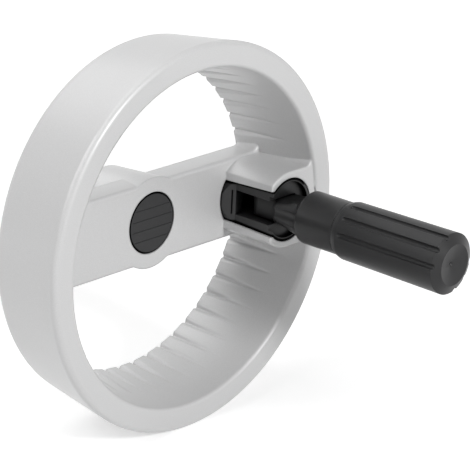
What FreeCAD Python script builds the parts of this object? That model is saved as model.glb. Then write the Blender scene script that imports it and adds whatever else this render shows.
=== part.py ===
import FreeCAD, Part
import os

import Sketcher

# Two-spoke handwheel with a fold-away revolving handle, millimetres.
# The origin is the centre of the shaft bore on the back face of the hub. The wheel's axis is Y:
# the machine is on the +Y side and the operator on the -Y side. +X points to the handle, +Z is up.
# A station is a distance forward of the hub's back face, so it lies at Y = -station.

doc = FreeCAD.newDocument("handwheel")
sheet = doc.addObject("Spreadsheet::Sheet", "Sizes")

SIZES = {
    # rim
    "wheel_radius": 80.4,
    "rim_width": 38.4,
    "rim_wall": 10.8,
    "rim_cone": 5.4,
    "rim_front_round": 2.2,
    "rim_back_round": 4.5,
    "rim_inner_round": 1.7,
    "rim_inner_back_round": 0.8,
    # finger grips in the rim's inner back edge
    "grip_notch_count": 20,
    "grip_notch_pitch": 7.2,
    "grip_notch_width": 4.6,
    "grip_notch_throat": 2.3,
    "grip_notch_floor": 0.6,
    "grip_notch_shoulder": 0.7,
    "grip_notch_depth": 1.9,
    "grip_notch_run": 27.0,
    "grip_notch_taper": 0.6,
    "grip_notch_fade": 0.1,
    "grip_notch_lift": 0.3,
    # spoke bar and hub
    "hub_standout": 15.1,
    "spoke_setback": 26.3,
    "spoke_thickness": 10.7,
    "spoke_height": 34.4,
    "spoke_round": 1.6,
    "spoke_root_round": 4.0,
    "spoke_root_depth": 0.6,
    "root_spare": 1.5,
    "root_bury": 0.3,
    "root_bite": 0.45,
    "hub_front_radius": 19.2,
    "hub_back_radius": 17.3,
    "hub_edge_round": 1.0,
    # bore, keyway and cover
    "bore_radius": 8.0,
    "key_width": 5.0,
    "key_depth": 2.3,
    "cap_radius": 12.8,
    "cap_gap": 0.2,
    "cap_thickness": 2.4,
    "cap_edge_width": 0.3,
    "cap_plug_radius": 9.6,
    "cap_plug_wall": 1.4,
    "cap_plug_length": 4.2,
    "cap_rib_pitch": 4.4,
    "cap_rib_width": 0.5,
    "cap_rib_depth": 0.25,
    "cap_rib_margin": 1.5,
    # handle boss on the rim side of the spoke
    "handle_inset": 26.4,
    "boss_radius": 16.2,
    "boss_nose": 10.7,
    "boss_setdown": 0.8,
    "boss_face_radius": 16.8,
    "boss_root_round": 3.2,
    "boss_root_depth": 0.0,
    "boss_edge_round": 0.7,
    # pivot housing let into the boss
    "housing_radius": 13.5,
    "housing_gap": 0.15,
    "housing_floor": 4.7,
    "housing_cheek_back": 8.6,
    "housing_cheek_front": 9.85,
    "housing_face": 9.6,
    "housing_setdown": 1.0,
    "housing_edge_width": 0.35,
    "housing_heel_lift": 0.6,
    "housing_heel_slope": 3.4,
    "heel_groove_drop": 1.1,
    "heel_groove_width": 0.5,
    "heel_groove_depth": 0.45,
    "housing_mouth_radius": 12.0,
    "housing_mouth_depth": 2.0,
    "slot_width": 10.4,
    "slot_ledge": 3.8,
    "slot_depth": 7.3,
    "slot_end_gap": 0.9,
    "screw_spread": 15.4,
    # fold pivot
    "pivot_setback": 13.0,
    "pin_radius": 2.5,
    "pin_length": 23.6,
    "pin_end_width": 0.4,
    "washer_radius": 4.2,
    "washer_thickness": 0.8,
    "washer_proud": 0.3,
    # handle neck
    "tongue_width": 9.6,
    "tongue_radius": 5.0,
    "shoulder_reach": 10.4,
    "shoulder_radius": 7.8,
    "neck_radius": 9.3,
    "neck_root_round": 1.6,
    "collar_reach": 24.8,
    "collar_step": 1.8,
    "collar_radius": 11.05,
    "collar_length": 18.9,
    "collar_round": 1.0,
    "scoop_reach": 14.2,
    "scoop_radius": 9.0,
    "hollow_radius": 14.0,
    "hollow_end_gap": 0.4,
    "neck_groove_radius": 4.5,
    "neck_groove_depth": 0.9,
    # revolving grip
    "grip_length": 54.2,
    "grip_gap": 0.15,
    "grip_step": 0.1,
    "grip_start_radius": 12.1,
    "grip_end_radius": 12.6,
    "grip_lead": 2.8,
    "grip_lead_shoulder": 1.7,
    "grip_lead_drop": 0.3,
    "grip_bevel": 2.2,
    "dish_radius": 8.5,
    "dish_depth": 1.9,
    "dimple_radius": 1.1,
    "dimple_depth": 0.9,
    "flute_spacing": 32.0,
    "flute_heading": 140.0,
    "flute_radius": 1.15,
    "flute_depth": 0.95,
    "flute_lead": 5.2,
    # spindle and its washer and ring
    "spindle_radius": 4.0,
    "spindle_seat": 16.0,
    "spindle_end_gap": 2.6,
    "spindle_end_width": 0.8,
    "thrust_washer_radius": 8.0,
    "thrust_washer_thickness": 1.0,
    "thrust_washer_gap": 0.4,
    "ring_setback": 3.5,
    "ring_wire": 1.0,
    "ring_groove_depth": 0.6,
    "grip_end_wall": 5.0,
    # fixing screws of the housing
    "screw_head_radius": 2.8,
    "screw_head_height": 2.8,
    "screw_sink": 0.2,
    "screw_radius": 1.5,
    "screw_length": 9.4,
    "screw_point": 0.8,
    "screw_point_radius": 0.6,
    "screw_hole_spare": 0.5,
    "screw_socket_radius": 1.3,
    "screw_socket_depth": 1.5,
    # fits
    "running_clearance": 0.05,
    "seat_clearance": 0.05,
    "swing_clearance": 0.3,
    "screw_clearance": 0.2,
}

for row, (alias, number) in enumerate(SIZES.items(), start=1):
    sheet.set(f"A{row}", alias)
    sheet.set(f"B{row}", str(number))
    sheet.setAlias(f"B{row}", alias)
doc.recompute()


def size(alias):
    """The expression that reads one cell of the sheet."""
    return f"Sizes.{alias}"


def value(expression):
    """The number that an expression gives now, for starting shapes and for finding edges."""
    return float(sheet.evalExpression(str(expression)))


# Stations, as expressions of the sheet's cells.
RIM_BACK = size("hub_standout")
RIM_FRONT = f"({RIM_BACK} + {size('rim_width')})"
SPOKE_FRONT = f"({RIM_FRONT} - {size('spoke_setback')})"
SPOKE_BACK = f"({SPOKE_FRONT} - {size('spoke_thickness')})"
BOSS_FRONT = f"({RIM_FRONT} - {size('boss_setdown')})"
HOUSING_BACK = f"({SPOKE_FRONT} - {size('housing_floor')})"
HOUSING_FRONT = f"({RIM_FRONT} - {size('housing_setdown')})"
PIVOT = f"({RIM_FRONT} - {size('pivot_setback')})"
CAP_SEAT = f"({SPOKE_FRONT} - {size('cap_thickness')})"

# Radii of the rim's inner wall at its two faces.
RIM_INNER_FRONT = f"({size('wheel_radius')} - {size('rim_wall')})"
RIM_OUTER_BACK = f"({size('wheel_radius')} - {size('rim_cone')})"
RIM_INNER_BACK = f"({RIM_OUTER_BACK} - {size('rim_wall')})"

# Distances along the handle, forward of the fold pivot.
NECK_REACH = f"({size('collar_reach')} - {size('collar_step')})"
COLLAR_END = f"({size('collar_reach')} + {size('collar_length')})"
GRIP_END = f"({COLLAR_END} + {size('grip_length')})"
GRIP_BORE_END = f"({GRIP_END} - {size('grip_end_wall')})"
SPINDLE_START = f"({COLLAR_END} - {size('spindle_seat')})"
SPINDLE_END = f"({GRIP_BORE_END} - {size('spindle_end_gap')})"
RING_FRONT = f"({SPINDLE_END} - {size('ring_setback')})"
RING_BACK = f"({RING_FRONT} - {size('ring_wire')})"

HANDLE_X = f"({size('wheel_radius')} - {size('handle_inset')})"
# Far enough to cut through any piece here, and a start a little outside a face.
FAR = f"(2 * {size('wheel_radius')})"
PAST = "1"


def new_body(name):
    """An empty body whose name is also its label."""
    body = doc.addObject("PartDesign::Body", name)
    body.Label = name
    return body


def place(body, x="0", station="0", z="0"):
    """Put a body's own origin at X, a station and Z."""
    body.setExpression("Placement.Base.x", x)
    body.setExpression("Placement.Base.y", f"-{station}")
    body.setExpression("Placement.Base.z", z)


def new_sketch(body, name, plane, offset="0", turn="0"):
    """A sketch on one of the body's origin planes, moved along its normal and turned about it."""
    sketch = body.newObject("Sketcher::SketchObject", name)
    support = next(f for f in body.Origin.OriginFeatures if f.Role == plane)
    sketch.AttachmentSupport = (support, [""])
    sketch.MapMode = "FlatFace"
    if offset != "0":
        sketch.setExpression("AttachmentOffset.Base.z", offset)
    if turn != "0":
        sketch.setExpression("AttachmentOffset.Rotation.Angle", turn)
    return sketch


def pin_point(sketch, geometry, position, x, y):
    """Hold one point of a sketch at two expressions."""
    axes = (("DistanceX", x, -2), ("DistanceY", y, -1))
    for kind, expression, axis in axes:
        if expression == "0":
            sketch.addConstraint(Sketcher.Constraint("PointOnObject", geometry, position, axis))
            continue
        start = value(expression)
        index = sketch.addConstraint(Sketcher.Constraint(kind, -1, 1, geometry, position, start))
        sketch.setExpression(f"Constraints[{index}]", expression)


def draw_polygon(sketch, corners):
    """A closed outline of straight lines through corners given as pairs of expressions."""
    points = [FreeCAD.Vector(value(x), value(y), 0) for x, y in corners]
    first = sketch.GeometryCount
    count = len(points)
    for i in range(count):
        sketch.addGeometry(Part.LineSegment(points[i], points[(i + 1) % count]), False)
    for i in range(count):
        ends = (first + i, 2, first + (i + 1) % count, 1)
        sketch.addConstraint(Sketcher.Constraint("Coincident", *ends))
    for i, (x, y) in enumerate(corners):
        pin_point(sketch, first + i, 1, x, y)


def draw_rectangle(sketch, left, bottom, right, top):
    """A closed rectangle between four expressions."""
    draw_polygon(sketch, [(left, bottom), (right, bottom), (right, top), (left, top)])


def draw_circle(sketch, x, y, radius):
    """A circle with its centre and radius held by expressions."""
    centre = FreeCAD.Vector(value(x), value(y), 0)
    index = sketch.addGeometry(Part.Circle(centre, FreeCAD.Vector(0, 0, 1), value(radius)), False)
    pin_point(sketch, index, 3, x, y)
    held = sketch.addConstraint(Sketcher.Constraint("Radius", index, value(radius)))
    sketch.setExpression(f"Constraints[{held}]", radius)


def pad(body, name, sketch, length, midplane=False):
    """Material along the sketch's normal, or to both sides of it."""
    feature = body.newObject("PartDesign::Pad", name)
    feature.Profile = sketch
    feature.Midplane = midplane
    feature.setExpression("Length", length)
    doc.recompute()
    return feature


def pocket(body, name, sketch, length, midplane=False):
    """A cut along the sketch's normal, or to both sides of it. It has to remove something."""
    before = body.Shape.Volume
    feature = body.newObject("PartDesign::Pocket", name)
    feature.Profile = sketch
    feature.Midplane = midplane
    feature.Reversed = not midplane
    feature.setExpression("Length", length)
    doc.recompute()
    if body.Shape.Volume >= before:
        raise ValueError(f"{name} cuts nothing")
    return feature


def turn(body, name, sketch, kind="PartDesign::Revolution"):
    """Material, or a Groove's cut, swept once round the sketch's vertical axis."""
    feature = body.newObject(kind, name)
    feature.Profile = sketch
    feature.ReferenceAxis = (sketch, ["V_Axis"])
    feature.Angle = 360.0
    doc.recompute()
    return feature


def is_circle(edge, radius, station=None):
    """True for a whole or partial circle of this radius, at this station if one is given."""
    if not isinstance(edge.Curve, Part.Circle):
        return False
    if abs(edge.Curve.Radius - value(radius)) > 0.01:
        return False
    return station is None or abs(edge.Curve.Center.y + value(station)) < 0.01


def is_level(edge, station):
    """True for an edge that lies wholly at one station."""
    box = edge.BoundBox
    level = -value(station)
    return abs(box.YMin - level) < 0.01 and abs(box.YMax - level) < 0.01


def is_post(edge, x, z):
    """True for a straight edge along Y at this |X| and |Z|."""
    box = edge.BoundBox
    if box.YLength < 1.0 or box.XLength > 0.01 or box.ZLength > 0.01:
        return False
    return abs(abs(box.XMin) - value(x)) < 0.01 and abs(abs(box.ZMin) - value(z)) < 0.01


def dress(body, name, kind, amount, test):
    """A Fillet or Chamfer on the edges of the body's tip that pass the test."""
    base = body.Tip
    names = [f"Edge{i}" for i, edge in enumerate(base.Shape.Edges, start=1) if test(edge)]
    if not names:
        raise ValueError(f"{name} found no edge")
    feature = body.newObject(kind, name)
    feature.Base = (base, names)
    feature.setExpression("Radius" if kind.endswith("Fillet") else "Size", amount)
    doc.recompute()
    return feature


def fillet(body, name, radius, test):
    return dress(body, name, "PartDesign::Fillet", radius, test)


def chamfer(body, name, width, test):
    return dress(body, name, "PartDesign::Chamfer", width, test)


def at(radius, station):
    """A point of a turned profile: its radius, and its station as a sketch height."""
    return (radius, f"-{station}")


def wall_radius(depth):
    """Radius of the rim's inner wall at a distance in front of the rim's back face."""
    return f"({RIM_INNER_BACK} + {size('rim_cone')} * {depth} / {size('rim_width')})"


def wall_x(wall_share, height):
    """X of the rim's inner wall at a height, a share of the cone behind its front."""
    wall = f"({RIM_INNER_FRONT} + {size('root_bury')} - {wall_share} * {size('rim_cone')})"
    return f"sqrt(pow({wall}; 2) - pow({height}; 2))"


def root_corners(wall_share, half_width, root_round):
    """Upper corners of a bar's end, with a foot that leans along the rim's inner wall."""
    foot = f"({half_width} + {size('root_spare')} * {root_round})"
    root_x = wall_x(wall_share, half_width)
    end_x = f"({root_x} + {size('root_bite')} * {size('rim_wall')})"
    return [(root_x, half_width), (wall_x(wall_share, foot), foot), (end_x, foot)]


def build_spoke_bar():
    """The flat bar right across the wheel, with feet that spread inside the rim."""
    bar = new_body("spoke_bar")
    half = f"({size('spoke_height')} / 2)"
    root_x = wall_x(size("spoke_root_depth"), half)
    right = root_corners(size("spoke_root_depth"), half, size("spoke_root_round"))
    lower_right = [(x, f"-{z}") for x, z in reversed(right)]
    left = [(f"-{x}", z) for x, z in reversed(right)]
    lower_left = [(x, f"-{z}") for x, z in reversed(left)]
    sketch = new_sketch(bar, "bar_outline", "XZ_Plane", SPOKE_BACK)
    draw_polygon(sketch, left + right + lower_right + lower_left)
    pad(bar, "bar_pad", sketch, size("spoke_thickness"))
    fillet(bar, "bar_roots", size("spoke_root_round"), lambda e: is_post(e, root_x, half))
    shortest = value(size("wheel_radius"))
    fillet(bar, "bar_front_edges", size("spoke_round"),
           lambda e: is_level(e, SPOKE_FRONT) and e.BoundBox.XLength > shortest)
    return bar


def build_handle_boss():
    """The round boss at the rim that carries the pivot housing, cut flat towards the hub."""
    boss = new_body("handle_boss")
    radius = size("boss_radius")
    base = f"({SPOKE_FRONT} - {size('spoke_thickness')} / 2)"
    height = f"({BOSS_FRONT} - {base})"
    root_x = wall_x(size("boss_root_depth"), radius)
    round_part = new_sketch(boss, "boss_circle", "XZ_Plane", base)
    draw_circle(round_part, HANDLE_X, "0", radius)
    pad(boss, "boss_round", round_part, height)
    bridge = new_sketch(boss, "boss_bridge_outline", "XZ_Plane", base)
    foot = root_corners(size("boss_root_depth"), radius, size("boss_root_round"))
    upper = [(HANDLE_X, radius)] + foot
    lower = [(x, f"-{z}") for x, z in reversed(upper)]
    draw_polygon(bridge, upper + lower)
    pad(boss, "boss_bridge", bridge, height)
    fillet(boss, "boss_roots", size("boss_root_round"), lambda e: is_post(e, root_x, radius))
    nose = new_sketch(boss, "boss_nose_cut", "XZ_Plane", base)
    nose_x = f"({HANDLE_X} - {size('boss_nose')})"
    draw_rectangle(nose, f"({HANDLE_X} - 2 * {radius})", f"-2 * {radius}", nose_x, f"2 * {radius}")
    pocket(boss, "boss_nose_flat", nose, FAR)
    fillet(boss, "boss_edges", size("boss_edge_round"), lambda e: is_level(e, BOSS_FRONT))
    return boss


def build_wheel():
    """One die casting: rim, spoke bar, hub and handle boss, with every seat cut into it."""
    wheel = new_body("wheel_body")
    profile = new_sketch(wheel, "rim_profile", "XY_Plane")
    draw_polygon(profile, [
        at(RIM_INNER_BACK, RIM_BACK),
        at(RIM_OUTER_BACK, RIM_BACK),
        at(size("wheel_radius"), RIM_FRONT),
        at(RIM_INNER_FRONT, RIM_FRONT),
    ])
    turn(wheel, "rim", profile)
    rounds = (
        ("rim_front_edge", "rim_front_round", size("wheel_radius"), RIM_FRONT),
        ("rim_back_edge", "rim_back_round", RIM_OUTER_BACK, RIM_BACK),
        ("rim_inner_edge", "rim_inner_round", RIM_INNER_FRONT, RIM_FRONT),
        ("rim_inner_back_edge", "rim_inner_back_round", RIM_INNER_BACK, RIM_BACK),
    )
    for name, alias, radius, station in rounds:
        fillet(wheel, name, size(alias), lambda e: is_circle(e, radius, station))
    cut_finger_grips(wheel)

    hub = new_sketch(wheel, "hub_profile", "XY_Plane")
    draw_polygon(hub, [
        at("0", "0"),
        (size("hub_back_radius"), "0"),
        at(size("hub_front_radius"), SPOKE_FRONT),
        at("0", SPOKE_FRONT),
    ])
    spokes = wheel.newObject("PartDesign::Boolean", "add_bar_and_boss")
    spokes.Type = "Fuse"
    spokes.setObjects([build_spoke_bar(), build_handle_boss()])
    doc.recompute()
    turn(wheel, "hub", hub)
    fillet(wheel, "hub_back_edge", size("hub_edge_round"),
           lambda e: is_circle(e, size("hub_back_radius"), "0"))
    cut_boss_face(wheel)
    cut_housing_seat(wheel)
    cut_shaft_bore(wheel)
    cut_screw_seats(wheel)
    return wheel


def draw_notch(sketch, wall, share, depth_share):
    """One finger grip's section, open towards the wheel's axis, with softened shoulders."""
    mouth = f"({share} * {size('grip_notch_width')} / 2)"
    throat = f"({share} * {size('grip_notch_throat')} / 2)"
    bottom = f"({share} * {size('grip_notch_floor')} / 2)"
    right = [
        (mouth, f"({wall} - {PAST})"),
        (mouth, wall),
        (throat, f"({wall} + {depth_share} * {size('grip_notch_shoulder')})"),
        (bottom, f"({wall} + {depth_share} * {size('grip_notch_depth')})"),
    ]
    left = [(f"-{x}", radius) for x, radius in reversed(right)]
    draw_polygon(sketch, right + left)


def cut_finger_grips(wheel):
    """Notches along the inner back edge of the rim, a fan of them in each window."""
    count = size("grip_notch_count")
    pitch = size("grip_notch_pitch")
    run = size("grip_notch_run")
    start = f"({RIM_BACK} - {PAST})"
    end = f"({RIM_BACK} + {run})"
    for name, middle in (("upper", "0"), ("lower", "180")):
        first = f"({middle} - {pitch} * ({count} - 1) / 2)"
        back = new_sketch(wheel, f"{name}_notch_back", "XZ_Plane", start, first)
        draw_notch(back, wall_radius(f"(-{PAST})"), "1", "1")
        front = new_sketch(wheel, f"{name}_notch_front", "XZ_Plane", end, first)
        wall = f"({wall_radius(run)} - {size('grip_notch_lift')})"
        draw_notch(front, wall, size("grip_notch_taper"), size("grip_notch_fade"))
        cut = wheel.newObject("PartDesign::SubtractiveLoft", f"{name}_notch_cut")
        cut.Profile = back
        cut.Sections = [front]
        cut.Ruled = True
        doc.recompute()
        fan = wheel.newObject("PartDesign::PolarPattern", f"{name}_notches")
        fan.Originals = [cut]
        fan.Axis = (back, ["N_Axis"])
        fan.setExpression("Angle", f"{pitch} * ({count} - 1)")
        fan.setExpression("Occurrences", count)
        wheel.Tip = fan
        doc.recompute()


def cut_boss_face(wheel):
    """The boss's round face, sunk a little below the rim's front face."""
    sketch = new_sketch(wheel, "boss_face", "XZ_Plane", BOSS_FRONT)
    draw_circle(sketch, HANDLE_X, "0", size("boss_face_radius"))
    pocket(wheel, "boss_face_cut", sketch, f"(2 * {size('boss_setdown')})")


def cheek_at(station):
    """Half width between the boss's cheeks at a station: they draw apart towards the front."""
    back = size("housing_cheek_back")
    spread = f"({size('housing_cheek_front')} - {back})"
    return f"({back} + {spread} * ({station} - {SPOKE_FRONT}) / ({RIM_FRONT} - {SPOKE_FRONT}))"


def draw_cheeks(sketch, back, front, gap):
    """The space between the cheeks from one station to another, less a gap at each side."""
    draw_polygon(sketch, [
        (f"-{back}", f"-({cheek_at(back)} - {gap})"),
        (f"-{back}", f"({cheek_at(back)} - {gap})"),
        (f"-{front}", f"({cheek_at(front)} - {gap})"),
        (f"-{front}", f"-({cheek_at(front)} - {gap})"),
    ])


def cut_housing_seat(wheel):
    """A round seat down into the spoke, open towards the hub between two cheeks."""
    well = new_sketch(wheel, "seat_circle", "XZ_Plane", HOUSING_BACK)
    draw_circle(well, HANDLE_X, "0", size("housing_radius"))
    pocket(wheel, "seat_well", well, FAR)
    reach = f"({size('boss_radius')} + {PAST})"
    mouth = new_sketch(wheel, "seat_mouth_outline", "YZ_Plane", f"({HANDLE_X} - {reach})")
    draw_cheeks(mouth, SPOKE_FRONT, RIM_FRONT, "0")
    pocket(wheel, "seat_mouth", mouth, reach)


def cut_shaft_bore(wheel):
    """The keyed bore from the back, and the stepped recess of the cover from the front."""
    bore = new_sketch(wheel, "bore_circle", "XZ_Plane", f"-{PAST}")
    draw_circle(bore, "0", "0", size("bore_radius"))
    pocket(wheel, "shaft_bore", bore, FAR)
    key = new_sketch(wheel, "key_outline", "XZ_Plane", f"-{PAST}")
    half = f"({size('key_width')} / 2)"
    draw_rectangle(key, f"-{half}", "0", half, f"({size('bore_radius')} + {size('key_depth')})")
    pocket(wheel, "keyway", key, FAR)
    plug_seat = f"({CAP_SEAT} - {size('cap_plug_length')} - {size('seat_clearance')})"
    plug = new_sketch(wheel, "plug_circle", "XZ_Plane", plug_seat)
    draw_circle(plug, "0", "0", f"({size('cap_plug_radius')} + {size('seat_clearance')})")
    pocket(wheel, "plug_recess", plug, FAR)
    rim = new_sketch(wheel, "cap_circle", "XZ_Plane", CAP_SEAT)
    draw_circle(rim, "0", "0", f"({size('cap_radius')} + {size('cap_gap')})")
    pocket(wheel, "cap_recess", rim, FAR)


def cut_screw_seats(wheel):
    """Two stepped holes from the back of the spoke for the housing's screws."""
    half_spread = f"({size('screw_spread')} / 2)"
    steps = (
        ("head", "screw_head_radius", f"({size('screw_head_height')} + {size('screw_sink')})"),
        ("shank", "screw_radius", f"({HOUSING_BACK} - {SPOKE_BACK})"),
    )
    for name, alias, depth in steps:
        sketch = new_sketch(wheel, f"screw_{name}_circles", "XZ_Plane", SPOKE_BACK)
        radius = f"({size(alias)} + {size('screw_clearance')})"
        draw_circle(sketch, HANDLE_X, half_spread, radius)
        draw_circle(sketch, HANDLE_X, f"-{half_spread}", radius)
        pocket(wheel, f"screw_{name}_holes", sketch, depth)


def build_hub_cap():
    """The round cover over the bore: a ribbed disc with a hollow plug behind it."""
    cap = new_body("hub_cap")
    radius = size("cap_radius")
    inner = f"({size('cap_plug_radius')} - {size('cap_plug_wall')})"
    plug_end = f"({CAP_SEAT} - {size('cap_plug_length')})"
    profile = new_sketch(cap, "cap_profile", "XY_Plane")
    draw_polygon(profile, [
        at("0", SPOKE_FRONT),
        at(radius, SPOKE_FRONT),
        at(radius, CAP_SEAT),
        at(size("cap_plug_radius"), CAP_SEAT),
        at(size("cap_plug_radius"), plug_end),
        at(inner, plug_end),
        at(inner, CAP_SEAT),
        at("0", CAP_SEAT),
    ])
    turn(cap, "cap_disc", profile)
    chamfer(cap, "cap_edge", size("cap_edge_width"), lambda e: is_circle(e, radius, SPOKE_FRONT))
    lines = new_sketch(cap, "cap_lines", "XZ_Plane", f"({SPOKE_FRONT} - {size('cap_rib_depth')})")
    half = f"({size('cap_rib_width')} / 2)"
    for step in (-1.5, -0.5, 0.5, 1.5):
        middle = f"({step} * {size('cap_rib_pitch')})"
        reach = f"(sqrt(pow({radius}; 2) - pow({middle}; 2)) - {size('cap_rib_margin')})"
        draw_rectangle(lines, f"-{reach}", f"({middle} - {half})", reach, f"({middle} + {half})")
    pocket(cap, "cap_line_cuts", lines, FAR)
    return cap


def build_housing():
    """The moulded block that holds the fold pivot, open to the front and towards the hub."""
    housing = new_body("pivot_housing")
    gap = size("housing_gap")
    face_x = f"({HANDLE_X} - {size('housing_face')})"
    outer = new_sketch(housing, "housing_circle", "XZ_Plane", HOUSING_BACK)
    draw_circle(outer, HANDLE_X, "0", f"({size('housing_radius')} - {gap})")
    pad(housing, "housing_round", outer, f"({HOUSING_FRONT} - {HOUSING_BACK})")
    block = new_sketch(housing, "housing_cheeks", "YZ_Plane", face_x)
    draw_cheeks(block, f"({SPOKE_FRONT} + {gap})", HOUSING_FRONT, gap)
    pad(housing, "housing_block", block, size("housing_face"))

    slot_floor = f"({PIVOT} - {size('shoulder_radius')} - {size('swing_clearance')})"
    heel_foot = f"({SPOKE_FRONT} + {size('housing_heel_lift')})"
    slope = f"({size('housing_heel_slope')} / ({slot_floor} - {heel_foot}))"
    beyond = f"({HANDLE_X} - 2 * {size('housing_radius')})"
    above = f"({HOUSING_FRONT} + {PAST})"
    face = new_sketch(housing, "housing_face_cut", "XY_Plane")
    draw_polygon(face, [
        at(face_x, above),
        at(beyond, above),
        at(beyond, heel_foot),
        at(f"({face_x} - {size('housing_heel_slope')})", heel_foot),
        at(face_x, slot_floor),
    ])
    pocket(housing, "housing_face_flat", face, FAR, midplane=True)
    chamfer(housing, "housing_front_edges", size("housing_edge_width"),
            lambda e: is_level(e, HOUSING_FRONT))
    groove_front = f"({slot_floor} - {size('heel_groove_drop')})"
    groove_back = f"({groove_front} - {size('heel_groove_width')})"
    groove_x = f"({face_x} - {slope} * {size('heel_groove_drop')} + {size('heel_groove_depth')})"
    groove = new_sketch(housing, "heel_groove_outline", "XY_Plane")
    draw_rectangle(groove, beyond, f"-{groove_front}", groove_x, f"-{groove_back}")
    pocket(housing, "heel_groove", groove, size("slot_width"), midplane=True)

    half_slot = f"({size('slot_width')} / 2)"
    reach = f"({size('tongue_radius')} + {size('swing_clearance')} + {size('slot_end_gap')})"
    slot = new_sketch(housing, "slot_outline", "XZ_Plane", slot_floor)
    draw_rectangle(slot, beyond, f"-{half_slot}", f"({HANDLE_X} + {reach})", half_slot)
    pocket(housing, "slot_cut", slot, FAR)
    well = new_sketch(housing, "well_outline", "XZ_Plane", f"({slot_floor} - {size('slot_depth')})")
    ledge_x = f"({face_x} + {size('slot_ledge')})"
    draw_rectangle(well, ledge_x, f"-{half_slot}", f"({HANDLE_X} + {reach})", half_slot)
    pocket(housing, "well_cut", well, FAR)
    mouth_floor = f"({HOUSING_FRONT} - {size('housing_mouth_depth')})"
    mouth = new_sketch(housing, "mouth_circle", "XZ_Plane", mouth_floor)
    draw_circle(mouth, HANDLE_X, "0", size("housing_mouth_radius"))
    pocket(housing, "mouth_cut", mouth, FAR)

    pin_hole = new_sketch(housing, "pin_circle", "XY_Plane")
    draw_circle(pin_hole, HANDLE_X, f"-{PIVOT}", size("pin_radius"))
    pocket(housing, "pin_hole", pin_hole, f"({size('pin_length')} + 2 * {size('seat_clearance')})",
           midplane=True)
    head_end = f"({SPOKE_BACK} + {size('screw_sink')} + {size('screw_head_height')})"
    hole_end = f"({head_end} + {size('screw_length')} + {size('screw_hole_spare')})"
    holes = new_sketch(housing, "screw_circles", "XZ_Plane", HOUSING_BACK)
    for side in ("", "-"):
        draw_circle(holes, HANDLE_X, f"{side}({size('screw_spread')} / 2)", size("screw_radius"))
    pocket(housing, "screw_holes", holes, f"({hole_end} - {HOUSING_BACK})")
    return housing


def build_screw(name, side):
    """A socket-head screw from the back of the spoke into the housing."""
    screw = new_body(name)
    head = size("screw_head_height")
    end = f"({head} + {size('screw_length')})"
    profile = new_sketch(screw, f"{name}_profile", "XY_Plane")
    draw_polygon(profile, [
        at("0", size("screw_socket_depth")),
        at(size("screw_socket_radius"), size("screw_socket_depth")),
        (size("screw_socket_radius"), "0"),
        (size("screw_head_radius"), "0"),
        at(size("screw_head_radius"), head),
        at(size("screw_radius"), head),
        at(size("screw_radius"), f"({end} - {size('screw_point')})"),
        at(size("screw_point_radius"), end),
        at("0", end),
    ])
    turn(screw, f"{name}_turned", profile)
    place(screw, HANDLE_X, f"({SPOKE_BACK} + {size('screw_sink')})",
          f"{side} * {size('screw_spread')} / 2")
    return screw


def build_pin():
    """The cross pin of the fold joint, along Z."""
    pin = new_body("pivot_pin")
    sketch = new_sketch(pin, "pin_section", "XY_Plane")
    draw_circle(sketch, "0", "0", size("pin_radius"))
    pad(pin, "pin_bar", sketch, size("pin_length"), midplane=True)
    chamfer(pin, "pin_ends", size("pin_end_width"), lambda e: isinstance(e.Curve, Part.Circle))
    place(pin, HANDLE_X, PIVOT)
    return pin


def build_washer(name, side):
    """A friction washer let into one flat of the tongue."""
    washer = new_body(name)
    outer_face = f"({size('tongue_width')} / 2 + {size('washer_proud')})"
    inner_face = f"({outer_face} - {size('washer_thickness')})"
    start = inner_face if side > 0 else f"-{outer_face}"
    sketch = new_sketch(washer, f"{name}_section", "XY_Plane", start)
    draw_circle(sketch, "0", "0", size("washer_radius"))
    draw_circle(sketch, "0", "0", f"({size('pin_radius')} + {size('running_clearance')})")
    pad(washer, f"{name}_ring", sketch, size("washer_thickness"))
    place(washer, HANDLE_X, PIVOT)
    return washer


def build_neck():
    """Tongue on the pin, a neck hollowed on four sides, and the fixed collar."""
    neck = new_body("handle_neck")
    profile = new_sketch(neck, "neck_profile", "XY_Plane")
    draw_polygon(profile, [
        at("0", size("shoulder_reach")),
        at(size("shoulder_radius"), size("shoulder_reach")),
        at(size("neck_radius"), NECK_REACH),
        at(size("collar_radius"), size("collar_reach")),
        at(size("collar_radius"), COLLAR_END),
        at("0", COLLAR_END),
    ])
    turn(neck, "neck_turned", profile)
    fillet(neck, "neck_root", size("neck_root_round"),
           lambda e: is_circle(e, size("neck_radius"), NECK_REACH))
    fillet(neck, "collar_start", size("collar_round"),
           lambda e: is_circle(e, size("collar_radius"), size("collar_reach")))
    cut_hollows(neck)
    cut_scoops(neck)
    add_tongue(neck)
    seat = new_sketch(neck, "spindle_circle", "XZ_Plane", SPINDLE_START)
    draw_circle(seat, "0", "0", size("spindle_radius"))
    pocket(neck, "spindle_hole", seat, FAR)
    place(neck, HANDLE_X, PIVOT)
    return neck


def cut_scoops(neck):
    """Both flats of the neck, level with the tongue at first and then running out in a curve."""
    half = f"({size('tongue_width')} / 2)"
    reach = size("scoop_reach")
    radius = size("scoop_radius")
    back = f"-({size('shoulder_reach')} - {PAST})"
    outside = f"({half} + {radius})"
    for name, sign in (("upper", ""), ("lower", "-")):
        flat = new_sketch(neck, f"{name}_flat_outline", "YZ_Plane")
        draw_rectangle(flat, f"-{reach}", f"{sign}{half}", back, f"{sign}{outside}")
        pocket(neck, f"{name}_flat", flat, FAR, midplane=True)
        scoop = new_sketch(neck, f"{name}_scoop_circle", "YZ_Plane")
        draw_circle(scoop, f"-{reach}", f"{sign}({half} + {radius})", radius)
        pocket(neck, f"{name}_scoop", scoop, FAR, midplane=True)


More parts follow.
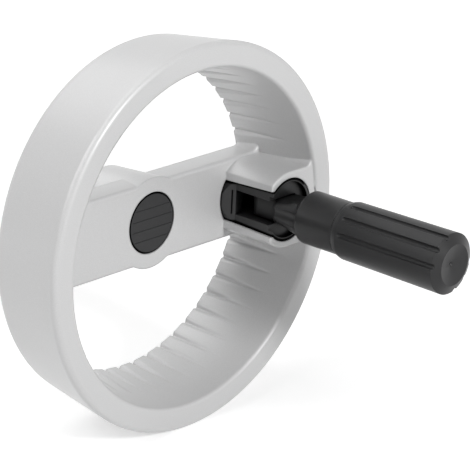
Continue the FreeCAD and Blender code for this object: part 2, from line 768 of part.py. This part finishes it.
def cut_hollows(neck):
    """Round-bottomed channels along all four sides of the neck, up to the collar."""
    start = f"({size('shoulder_reach')} - {PAST})"
    length = f"({size('collar_reach')} - {size('hollow_end_gap')} - {start})"
    flat = f"({size('tongue_width')} / 2 + {size('hollow_radius')})"
    side = f"({size('shoulder_radius')} - {size('neck_groove_depth')} + {size('neck_groove_radius')})"
    channels = (
        ("rim_side", side, "0", size("neck_groove_radius")),
        ("hub_side", f"-{side}", "0", size("neck_groove_radius")),
        ("upper", "0", flat, size("hollow_radius")),
        ("lower", "0", f"-{flat}", size("hollow_radius")),
    )
    for name, x, z, radius in channels:
        sketch = new_sketch(neck, f"{name}_channel_circle", "XZ_Plane", start)
        draw_circle(sketch, x, z, radius)
        pocket(neck, f"{name}_channel", sketch, length)


def add_tongue(neck):
    """The flat tongue that turns on the pin, with its round end, pin hole and washer seats."""
    radius = size("tongue_radius")
    end = new_sketch(neck, "tongue_circle", "XY_Plane")
    draw_circle(end, "0", "0", radius)
    pad(neck, "tongue_end", end, size("tongue_width"), midplane=True)
    web = new_sketch(neck, "tongue_web_outline", "XY_Plane")
    draw_rectangle(web, f"-{radius}", f"-({size('shoulder_reach')} + {PAST})", radius, "0")
    pad(neck, "tongue_web", web, size("tongue_width"), midplane=True)
    hole = new_sketch(neck, "tongue_hole_circle", "XY_Plane")
    draw_circle(hole, "0", "0", f"({size('pin_radius')} + {size('running_clearance')})")
    pocket(neck, "tongue_hole", hole, FAR, midplane=True)
    half = f"({size('tongue_width')} / 2)"
    depth = f"({size('washer_thickness')} - {size('washer_proud')})"
    for name, start in (("upper", f"({half} - {depth})"), ("lower", f"(-{half} - {PAST})")):
        seat = new_sketch(neck, f"{name}_washer_circle", "XY_Plane", start)
        draw_circle(seat, "0", "0", f"({size('washer_radius')} + {size('seat_clearance')})")
        pocket(neck, f"{name}_washer_seat", seat, f"({depth} + {PAST})")


def build_spindle():
    """The steel axle of the grip, pressed into the collar, with a groove for the snap ring."""
    spindle = new_body("grip_spindle")
    radius = size("spindle_radius")
    edge = size("spindle_end_width")
    groove_radius = f"({radius} - {size('ring_groove_depth')})"
    profile = new_sketch(spindle, "spindle_profile", "XY_Plane")
    draw_polygon(profile, [
        at("0", SPINDLE_START),
        at(radius, SPINDLE_START),
        at(radius, RING_BACK),
        at(groove_radius, RING_BACK),
        at(groove_radius, RING_FRONT),
        at(radius, RING_FRONT),
        at(radius, f"({SPINDLE_END} - {edge})"),
        at(f"({radius} - {edge})", SPINDLE_END),
        at("0", SPINDLE_END),
    ])
    turn(spindle, "spindle_turned", profile)
    place(spindle, HANDLE_X, PIVOT)
    return spindle


def build_ring(name, inner, outer, start, thickness):
    """A flat ring about the handle's axis."""
    ring = new_body(name)
    sketch = new_sketch(ring, f"{name}_section", "XZ_Plane", start)
    draw_circle(sketch, "0", "0", outer)
    draw_circle(sketch, "0", "0", inner)
    pad(ring, f"{name}_pad", sketch, thickness)
    place(ring, HANDLE_X, PIVOT)
    return ring


def build_grip():
    """The revolving sleeve: swelling outwards, dished at its end, fluted in two groups of three."""
    grip = new_body("grip_sleeve")
    run = size("running_clearance")
    start = f"({COLLAR_END} + {size('grip_gap')})"
    bore = f"({size('spindle_radius')} + {run})"
    counterbore = f"({size('thrust_washer_radius')} + {size('thrust_washer_gap')})"
    counterbore_end = f"({COLLAR_END} + {size('thrust_washer_thickness')} + {run})"
    shoulder = f"({COLLAR_END} + {size('grip_lead_shoulder')})"
    dish_bottom = f"({GRIP_END} - {size('dish_depth')})"
    profile = new_sketch(grip, "grip_profile", "XY_Plane")
    draw_polygon(profile, [
        at(counterbore, start),
        at(f"({size('collar_radius')} + {size('grip_step')})", start),
        at(f"({size('grip_start_radius')} - {size('grip_lead_drop')})", shoulder),
        at(size("grip_start_radius"), f"({COLLAR_END} + {size('grip_lead')})"),
        at(size("grip_end_radius"), f"({GRIP_END} - {size('grip_bevel')})"),
        at(size("dish_radius"), GRIP_END),
        at(size("dimple_radius"), dish_bottom),
        at("0", f"({dish_bottom} - {size('dimple_depth')})"),
        at("0", GRIP_BORE_END),
        at(bore, GRIP_BORE_END),
        at(bore, counterbore_end),
        at(counterbore, counterbore_end),
    ])
    turn(grip, "grip_turned", profile)
    cut_ring_groove(grip)
    cut_flutes(grip)
    place(grip, HANDLE_X, PIVOT)
    return grip


def cut_ring_groove(grip):
    """The groove inside the sleeve that the snap ring springs into."""
    run = size("running_clearance")
    back = f"({RING_BACK} - {run})"
    front = f"({RING_FRONT} + {run})"
    inner = f"({size('spindle_radius')} - {size('ring_groove_depth')})"
    outer = f"({size('spindle_radius')} + {size('ring_groove_depth')} + {run})"
    profile = new_sketch(grip, "ring_groove_profile", "XY_Plane")
    draw_polygon(profile, [at(inner, back), at(outer, back), at(outer, front), at(inner, front)])
    turn(grip, "ring_groove", profile, "PartDesign::Groove")


def cut_flutes(grip):
    """Round flutes that start in a ball end near the collar and run out through the sleeve's end."""
    first = f"({COLLAR_END} + {size('flute_lead')})"
    radius = size("flute_radius")
    axis_radius = f"({size('grip_start_radius')} - {size('flute_depth')} + {radius})"
    for side, opposite in (("near", 0), ("far", 180)):
        for step in (-1, 0, 1):
            name = f"flute_{side}_{step + 2}"
            heading = f"({size('flute_heading')} + {opposite} + {step} * {size('flute_spacing')})"
            sketch = new_sketch(grip, f"{name}_circle", "XZ_Plane", first, f"({heading} - 90)")
            draw_circle(sketch, "0", axis_radius, radius)
            pocket(grip, name, sketch, FAR)
            ball = grip.newObject("PartDesign::SubtractiveSphere", f"{name}_ball")
            ball.setExpression("Radius", radius)
            ball.setExpression("Placement.Base.x", f"{axis_radius} * cos({heading})")
            ball.setExpression("Placement.Base.y", f"-{first}")
            ball.setExpression("Placement.Base.z", f"{axis_radius} * sin({heading})")
            doc.recompute()


def build_all():
    """Every piece of the handwheel, by the name of its file."""
    spindle_radius = size("spindle_radius")
    return [
        build_wheel(),
        build_hub_cap(),
        build_housing(),
        build_screw("housing_screw_upper", 1),
        build_screw("housing_screw_lower", -1),
        build_pin(),
        build_neck(),
        build_washer("friction_washer_upper", 1),
        build_washer("friction_washer_lower", -1),
        build_spindle(),
        build_ring("thrust_washer", f"({spindle_radius} + {size('running_clearance')})",
                   size("thrust_washer_radius"), COLLAR_END, size("thrust_washer_thickness")),
        build_ring("snap_ring", f"({spindle_radius} - {size('ring_groove_depth')})",
                   f"({spindle_radius} + {size('ring_groove_depth')})", RING_BACK, size("ring_wire")),
        build_grip(),
    ]


def check_document():
    """Stop if any object of the document failed."""
    for item in doc.Objects:
        if "Invalid" in item.State or "Error" in item.State:
            raise ValueError(f"{item.Name} failed: {item.State}")


pieces = build_all()
doc.recompute()
check_document()
for piece in pieces:
    shape = piece.Shape
    if shape.isNull() or not shape.isValid() or len(shape.Solids) != 1:
        raise ValueError(f"{piece.Label} is not one valid solid")
os.makedirs("parts", exist_ok=True)
for piece in pieces:
    piece.Shape.exportStep(f"parts/{piece.Label}.step")
    print(piece.Label, round(piece.Shape.Volume, 1), "mm3")
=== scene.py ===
import math

import bpy
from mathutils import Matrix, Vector

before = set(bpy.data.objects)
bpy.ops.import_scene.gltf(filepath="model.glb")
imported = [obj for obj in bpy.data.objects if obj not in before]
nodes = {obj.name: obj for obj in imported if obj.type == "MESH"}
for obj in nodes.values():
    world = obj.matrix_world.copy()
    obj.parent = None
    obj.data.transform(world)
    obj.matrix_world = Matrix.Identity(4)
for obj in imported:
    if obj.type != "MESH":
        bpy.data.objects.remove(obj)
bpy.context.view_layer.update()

MM = 0.001

# Camera, from the outline of the rim, the windows, the spoke and the cap in the photograph.
CAMERA_PLACE = Vector((-771.5, -745.6, 376.4)) * MM
CAMERA_TILT = math.radians(70.154)
CAMERA_ROLL = math.radians(-2.515)
CAMERA_HEADING = math.radians(-47.950)
CAMERA_FAR = 20.0
PHOTO_SIDE = 470
FOCAL_PIXELS = 2800
SENSOR_WIDTH = 36.0

# The floor: its glow to the camera rises with the distance from the wheel, to plain white.
WHEEL_BOTTOM = -80.0 * MM
FLOOR_SIZE = 3.0
FLOOR_COLOR = 0.9
FLOOR_ROUGHNESS = 0.9
FLOOR_GLOW = 0.45
GLOW_START = 0.25
GLOW_END = 0.9

# The studio's light: an even part, and lamps with their name, place, side and power.
WORLD_LIGHT = 0.12
WORLD_SEEN = 1.0
LAMP_AIM = (0, -30 * MM, 0)
LAMPS = (
    ("key_lamp", (0.0, -1.24, 0.62), 0.25, 10.8),
    ("back_lamp", (0.1, 0.9, 0.9), 0.8, 2.0),
    ("top_lamp", (-0.1, 0.15, 0.7), 0.5, 1.2),
    ("rim_lamp", (-0.7, 0.25, 0.45), 0.5, 2.0),
    ("left_lamp", (-0.7, -0.1, 0.9), 0.6, 1.8),
)

# Sizes of the CAD pieces where black meets the casting.
CAP_RADIUS = 12.8 * MM
HANDLE_X = 54.0 * MM
HOUSING_RADIUS = 13.35 * MM
HOUSING_FACE_X = 44.4 * MM
SPOKE_FRONT = 27.2 * MM
RIM_FRONT = 53.5 * MM
CHEEK_AT_SPOKE = 8.6 * MM
CHEEK_AT_RIM = 9.85 * MM
CHEEK_SPREAD = (CHEEK_AT_RIM - CHEEK_AT_SPOKE) / (RIM_FRONT - SPOKE_FRONT)
CHEEK_ROOT = CHEEK_AT_SPOKE - CHEEK_SPREAD * SPOKE_FRONT

# The painted shade that stands for the gap there: its widths, the part of them that is
# fully dark, and the light that is left in it.
CAP_GAP_SHADE = 0.8 * MM
HOUSING_GAP_SHADE = 1.3 * MM
GAP_CORE = 0.7
GAP_LIGHT = 0.03
FACE_MARGIN = 0.2 * MM

# Noise is spread from one value to another over the middle of its range.
NOISE_LOW = 0.3
NOISE_HIGH = 0.7

# Painted shade in hollows: the openness at which a surface is painted black, and at which it has its
# full colour.
HOLLOW_CLOSED = 0.35
HOLLOW_OPEN = 0.9
HOLLOW_SAMPLES = 8
HOUSING_SHADE_REACH = 8.0 * MM
NECK_SHADE_REACH = 6.0 * MM

# Silver coating.
SILVER_COLOR = (0.6, 0.6, 0.6)
SILVER_LOW = (0.57, 0.57, 0.572)
SILVER_HIGH = (0.62, 0.62, 0.622)
SILVER_METALLIC = 0.12
SILVER_ROUGHNESS = (0.45, 0.48, 0.52)
SILVER_COAT = 0.6
SILVER_COAT_ROUGHNESS = 0.28
SILVER_GRAIN = 2600
SILVER_PATCHES = 45
SILVER_RELIEF = 0.014 * MM
SILVER_EDGE = 1.2 * MM

# Black plastics: name, level, roughness, specular level and softness of the edges.
CAP_BLACK = ("cap_plastic", 0.035, 0.5, 0.2, 0.2 * MM)
HOUSING_BLACK = ("housing_plastic", 0.024, 0.34, 0.35, 0.3 * MM)
NECK_BLACK = ("neck_plastic", 0.02, 0.34, 0.33, 1.2 * MM)
GRIP_BLACK = ("grip_plastic", 0.028, 0.38, 0.2, 0.3 * MM)
BLACK_BLUE = 1.03
BLACK_TINT = (0.95, 1.05)
SMOOTHER = 0.03
ROUGHER = 0.04
BLACK_GRAIN = 3200
BLACK_PATCHES = 50
BLACK_RELIEF = 0.02 * MM

# Bright steel.
STEEL_COLOR = (0.56, 0.56, 0.57)
STEEL_ROUGHNESS = (0.3, 0.36, 0.42)
STEEL_MARKS = 900
STEEL_RELIEF = 0.01 * MM
STEEL_EDGE = 0.2 * MM

EDGE_SAMPLES = 6


def add_camera():
    """The photograph's view."""
    data = bpy.data.cameras.new("camera")
    data.sensor_width = SENSOR_WIDTH
    data.lens = FOCAL_PIXELS / PHOTO_SIDE * SENSOR_WIDTH
    data.clip_end = CAMERA_FAR
    camera = bpy.data.objects.new("camera", data)
    camera.location = CAMERA_PLACE
    camera.rotation_euler = (CAMERA_TILT, CAMERA_ROLL, CAMERA_HEADING)
    bpy.context.scene.collection.objects.link(camera)
    bpy.context.scene.camera = camera


def add_softbox(name, place, size, power):
    """A square area lamp at a place, turned to face the wheel."""
    data = bpy.data.lights.new(name, "AREA")
    data.shape = "SQUARE"
    data.size = size
    data.energy = power
    lamp = bpy.data.objects.new(name, data)
    lamp.location = place
    direction = Vector(LAMP_AIM) - Vector(place)
    lamp.rotation_euler = direction.to_track_quat("-Z", "Y").to_euler()
    bpy.context.scene.collection.objects.link(lamp)


def calc(tree, operation, *values):
    """A math node over sockets or plain numbers."""
    node = tree.nodes.new("ShaderNodeMath")
    node.operation = operation
    for slot, value in enumerate(values):
        if isinstance(value, (int, float)):
            node.inputs[slot].default_value = value
        else:
            tree.links.new(value, node.inputs[slot])
    return node.outputs[0]


def map_range(tree, value, from_low, from_high, to_low, to_high):
    """A value, spread from one range to another and held within it."""
    spread = tree.nodes.new("ShaderNodeMapRange")
    spread.inputs["From Min"].default_value = from_low
    spread.inputs["From Max"].default_value = from_high
    spread.inputs["To Min"].default_value = to_low
    spread.inputs["To Max"].default_value = to_high
    tree.links.new(value, spread.inputs["Value"])
    return spread.outputs["Result"]


def seen_directly(tree):
    """1 for rays from the camera, from a mirror or through glass, and 0 for light."""
    path = tree.nodes.new("ShaderNodeLightPath").outputs
    either = calc(tree, "MAXIMUM", path["Is Camera Ray"], path["Is Glossy Ray"])
    return calc(tree, "MAXIMUM", either, path["Is Transmission Ray"])


def add_world():
    """A little even light, with plain white behind the object."""
    world = bpy.data.worlds.new("studio")
    bpy.context.scene.world = world
    world.use_nodes = True
    tree = world.node_tree
    tree.nodes.clear()
    output = tree.nodes.new("ShaderNodeOutputWorld")
    mix = tree.nodes.new("ShaderNodeMixShader")
    for slot, strength in ((1, WORLD_LIGHT), (2, WORLD_SEEN)):
        background = tree.nodes.new("ShaderNodeBackground")
        background.inputs["Color"].default_value = (1, 1, 1, 1)
        background.inputs["Strength"].default_value = strength
        tree.links.new(background.outputs[0], mix.inputs[slot])
    tree.links.new(seen_directly(tree), mix.inputs[0])
    tree.links.new(mix.outputs[0], output.inputs["Surface"])


def add_floor():
    """A floor that keeps the wheel's shadow and fades to plain white away from it."""
    bpy.ops.mesh.primitive_plane_add(size=FLOOR_SIZE, location=(0, 0, WHEEL_BOTTOM))
    floor = bpy.context.object
    floor.name = "floor"
    color = (FLOOR_COLOR, FLOOR_COLOR, FLOOR_COLOR)
    material, tree, shader = new_material("floor_white", color, FLOOR_ROUGHNESS, specular=0.0)
    glow = tree.nodes.new("ShaderNodeEmission")
    glow.inputs["Color"].default_value = (1, 1, 1, 1)
    place = tree.nodes.new("ShaderNodeTexCoord")
    distance = tree.nodes.new("ShaderNodeVectorMath")
    distance.operation = "LENGTH"
    tree.links.new(place.outputs["Object"], distance.inputs[0])
    strength = map_range(tree, distance.outputs["Value"], GLOW_START, GLOW_END, FLOOR_GLOW, 1.0)
    tree.links.new(strength, glow.inputs["Strength"])
    lit = tree.nodes.new("ShaderNodeAddShader")
    tree.links.new(shader.outputs[0], lit.inputs[0])
    tree.links.new(glow.outputs[0], lit.inputs[1])
    mix = tree.nodes.new("ShaderNodeMixShader")
    tree.links.new(seen_directly(tree), mix.inputs[0])
    tree.links.new(shader.outputs[0], mix.inputs[1])
    tree.links.new(lit.outputs[0], mix.inputs[2])
    tree.links.new(mix.outputs[0], tree.nodes["Material Output"].inputs["Surface"])
    floor.data.materials.append(material)


def new_material(name, color, roughness, metallic=0.0, specular=0.5):
    """A principled material, with its node tree and shader."""
    material = bpy.data.materials.new(name)
    material.use_nodes = True
    tree = material.node_tree
    shader = tree.nodes["Principled BSDF"]
    shader.inputs["Base Color"].default_value = (*color, 1)
    shader.inputs["Roughness"].default_value = roughness
    shader.inputs["Metallic"].default_value = metallic
    shader.inputs["Specular IOR Level"].default_value = specular
    return material, tree, shader


def noise(tree, scale, detail):
    """Noise in the object's own metres."""
    place = tree.nodes.new("ShaderNodeTexCoord")
    texture = tree.nodes.new("ShaderNodeTexNoise")
    texture.inputs["Scale"].default_value = scale
    texture.inputs["Detail"].default_value = detail
    tree.links.new(place.outputs["Object"], texture.inputs["Vector"])
    return texture.outputs["Fac"]


def tint(tree, shader, texture, low, high):
    """Vary the shader's colour between two colours over a texture."""
    colors = tree.nodes.new("ShaderNodeValToRGB")
    ends = colors.color_ramp.elements
    for end, position, color in ((ends[0], NOISE_LOW, low), (ends[1], NOISE_HIGH, high)):
        end.position = position
        end.color = (*color, 1)
    tree.links.new(texture, colors.inputs["Fac"])
    tree.links.new(colors.outputs["Color"], shader.inputs["Base Color"])


def vary_roughness(tree, shader, texture, low, high):
    """Vary the shader's roughness between two values over a texture."""
    spread = map_range(tree, texture, NOISE_LOW, NOISE_HIGH, low, high)
    tree.links.new(spread, shader.inputs["Roughness"])


def shade(tree, shader, amount):
    """Paint shade: multiply the shader's colour and shine by an amount from 0 to 1."""
    shaded = tree.nodes.new("ShaderNodeMix")
    shaded.data_type = "RGBA"
    shaded.blend_type = "MULTIPLY"
    shaded.inputs["Factor"].default_value = 1.0
    tree.links.new(shader.inputs["Base Color"].links[0].from_socket, shaded.inputs["A"])
    tree.links.new(amount, shaded.inputs["B"])
    tree.links.new(shaded.outputs["Result"], shader.inputs["Base Color"])
    shine = shader.inputs["Specular IOR Level"]
    before = shine.links[0].from_socket if shine.links else shine.default_value
    tree.links.new(calc(tree, "MULTIPLY", before, amount), shine)


def paint_hollow_shade(tree, shader, reach):
    """Paint shade on the parts that lie within reach of walls around them."""
    openness = tree.nodes.new("ShaderNodeAmbientOcclusion")
    openness.samples = HOLLOW_SAMPLES
    openness.inputs["Distance"].default_value = reach
    amount = map_range(tree, openness.outputs["AO"], HOLLOW_CLOSED, HOLLOW_OPEN, 0.0, 1.0)
    shade(tree, shader, amount)


def object_axes(tree):
    """The object's own x, y and z in metres."""
    place = tree.nodes.new("ShaderNodeTexCoord")
    split = tree.nodes.new("ShaderNodeSeparateXYZ")
    tree.links.new(place.outputs["Object"], split.inputs[0])
    return split.outputs[0], split.outputs[1], split.outputs[2]


def round_margin(tree, x, z, centre, radius):
    """How far a place lies inside a circle about an axis along y."""
    across = calc(tree, "SUBTRACT", x, centre)
    far = calc(tree, "ADD", calc(tree, "MULTIPLY", across, across), calc(tree, "MULTIPLY", z, z))
    return calc(tree, "SUBTRACT", radius, calc(tree, "SQRT", far))


def paint_gap_shade(tree, shader, margin, width):
    """Paint the gap's shade as a dark line along the border where a margin runs out."""
    shade(tree, shader, map_range(tree, margin, width * GAP_CORE, width, GAP_LIGHT, 1.0))


def bump(tree, shader, texture, depth, edge_radius):
    """Fine relief from a texture, over edges softened by a small radius."""
    relief = tree.nodes.new("ShaderNodeBump")
    relief.inputs["Strength"].default_value = 1.0
    relief.inputs["Distance"].default_value = depth
    tree.links.new(texture, relief.inputs["Height"])
    soft = tree.nodes.new("ShaderNodeBevel")
    soft.samples = EDGE_SAMPLES
    soft.inputs["Radius"].default_value = edge_radius
    tree.links.new(soft.outputs["Normal"], relief.inputs["Normal"])
    tree.links.new(relief.outputs["Normal"], shader.inputs["Normal"])


def silver_coating():
    """Satin silver coating on the casting: a fine grain under a thin clear coat."""
    smoothest, middle, roughest = SILVER_ROUGHNESS
    material, tree, shader = new_material("silver_coating", SILVER_COLOR, middle,
                                          metallic=SILVER_METALLIC)
    grain = noise(tree, SILVER_GRAIN, 2.0)
    tint(tree, shader, grain, SILVER_LOW, SILVER_HIGH)
    vary_roughness(tree, shader, noise(tree, SILVER_PATCHES, 4.0), smoothest, roughest)
    shader.inputs["Coat Weight"].default_value = SILVER_COAT
    shader.inputs["Coat Roughness"].default_value = SILVER_COAT_ROUGHNESS
    bump(tree, shader, grain, SILVER_RELIEF, SILVER_EDGE)
    return material


def black_plastic(name, level, roughness, specular, edge):
    """Moulded black plastic with a fine spark-eroded grain."""
    color = (level, level, level * BLACK_BLUE)
    material, tree, shader = new_material(name, color, roughness, specular=specular)
    patches = noise(tree, BLACK_PATCHES, 1.0)
    low, high = ([c * share for c in color] for share in BLACK_TINT)
    tint(tree, shader, patches, low, high)
    vary_roughness(tree, shader, patches, roughness - SMOOTHER, roughness + ROUGHER)
    bump(tree, shader, noise(tree, BLACK_GRAIN, 2.0), BLACK_RELIEF, edge)
    return material, tree, shader


def cap_plastic():
    """The cover's matt black, with painted shade for the gap round it."""
    material, tree, shader = black_plastic(*CAP_BLACK)
    x, _, z = object_axes(tree)
    # Painted shade for the gap round the cover.
    paint_gap_shade(tree, shader, round_margin(tree, x, z, 0.0, CAP_RADIUS), CAP_GAP_SHADE)
    return material


def housing_plastic():
    """The housing's black, with painted shade in its slot and for the gap between it and the boss.
    """
    material, tree, shader = black_plastic(*HOUSING_BLACK)
    # Painted shade in the housing's slot and other hollows.
    paint_hollow_shade(tree, shader, HOUSING_SHADE_REACH)
    # Painted shade for the gap between the housing and the boss.
    x, y, z = object_axes(tree)
    cheek = calc(tree, "MULTIPLY_ADD", y, -CHEEK_SPREAD, CHEEK_ROOT)
    between = calc(tree, "SUBTRACT", cheek, calc(tree, "ABSOLUTE", z))
    disc = round_margin(tree, x, z, HANDLE_X, HOUSING_RADIUS)
    behind_face = calc(tree, "GREATER_THAN", x, HOUSING_FACE_X + FACE_MARGIN)
    disc = calc(tree, "MULTIPLY", disc, behind_face)
    paint_gap_shade(tree, shader, calc(tree, "MAXIMUM", between, disc), HOUSING_GAP_SHADE)
    return material


def neck_plastic():
    """The neck's smoother black, with painted shade where it goes into the housing."""
    material, tree, shader = black_plastic(*NECK_BLACK)
    # Painted shade in the neck's hollows, where it goes into the housing.
    paint_hollow_shade(tree, shader, NECK_SHADE_REACH)
    return material


def grip_plastic():
    """The grip's matt black."""
    return black_plastic(*GRIP_BLACK)[0]


def bright_steel():
    """Turned steel, with faint tool marks."""
    smoothest, middle, roughest = STEEL_ROUGHNESS
    material, tree, shader = new_material("bright_steel", STEEL_COLOR, middle, metallic=1.0)
    marks = noise(tree, STEEL_MARKS, 4.0)
    vary_roughness(tree, shader, marks, smoothest, roughest)
    bump(tree, shader, marks, STEEL_RELIEF, STEEL_EDGE)
    return material


def dress(material, *names):
    """Give CAD nodes one material."""
    for name in names:
        mesh = nodes[name].data
        mesh.materials.clear()
        mesh.materials.append(material)


scene = bpy.context.scene
scene.view_settings.view_transform = "Standard"
add_camera()
add_world()
add_floor()
for lamp_name, place, side, power in LAMPS:
    add_softbox(lamp_name, place, side, power)

dress(silver_coating(), "wheel_body")
dress(cap_plastic(), "hub_cap")
dress(housing_plastic(), "pivot_housing")
dress(neck_plastic(), "handle_neck")
dress(grip_plastic(), "grip_sleeve")
dress(bright_steel(), "pivot_pin", "grip_spindle", "thrust_washer", "snap_ring",
      "friction_washer_upper", "friction_washer_lower", "housing_screw_upper", "housing_screw_lower")
